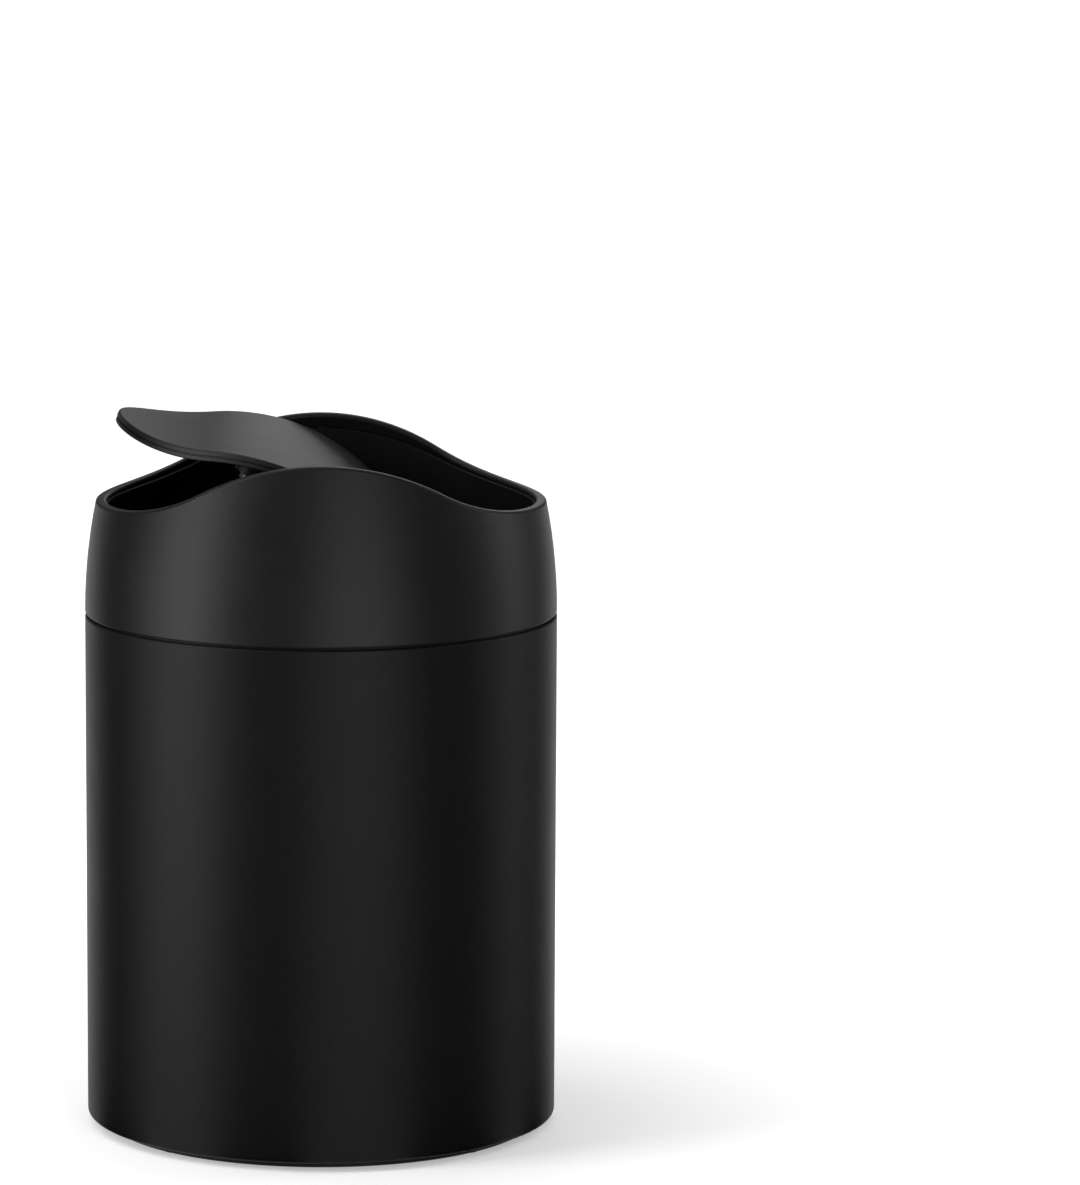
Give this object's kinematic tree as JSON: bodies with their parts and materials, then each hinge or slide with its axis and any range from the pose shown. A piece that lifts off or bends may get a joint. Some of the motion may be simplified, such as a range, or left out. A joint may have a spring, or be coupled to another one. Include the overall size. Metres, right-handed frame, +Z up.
{
  "type": "tabletop waste bin",
  "caption": "Round black tabletop waste bin: steel can, lift-off lid collar with a wavy rim, and a wave-shaped two-way swing flap on a front-to-back pivot.",
  "frame": {"origin": "middle of the base, on the table", "axes": "+Z up; the front faces -Y; the flap swings about an axis along Y, and +X is the side whose wing is pushed down at rest"},
  "size_m": [0.122, 0.122, 0.1863],
  "materials": {
    "coated_steel": "matte black powder coat",
    "lid_plastic": "satin black, fine spark texture",
    "ring_plastic": "matte black",
    "base_plastic": "matte black",
    "bush_plastic": "smooth black acetal",
    "soft_rubber": "matte",
    "bright_steel": "zinc plated",
    "black_steel": "black oxide"
  },
  "bodies": {
    "bin": {"body_shell": "coated_steel", "body_floor": "coated_steel", "base_ring": "base_plastic", "foot_pads": "soft_rubber"},
    "lid": {"lid_collar": "lid_plastic", "pivot_ring": "ring_plastic", "lid_seal": "soft_rubber", "ring_screws": "black_steel", "front_pivot_bush": "bush_plastic", "rear_pivot_bush": "bush_plastic"},
    "flap": {"flap_cover": "lid_plastic", "flap_tray": "lid_plastic", "front_pivot_pin": "bright_steel", "rear_pivot_pin": "bright_steel", "flap_weight": "bright_steel", "weight_screws": "black_steel", "flap_screws": "black_steel"}
  },
  "joints": [
    {"name": "lid_lift", "type": "slide", "parent": "bin", "child": "lid", "axis": [0, 0, 1], "range_m": [0, 0.09]},
    {"name": "flap_swing", "type": "hinge", "parent": "lid", "child": "flap", "pos_m": [0, 0, 0.16885], "axis": [0, 1, 0], "range_deg": [-105, 45]}
  ]
}
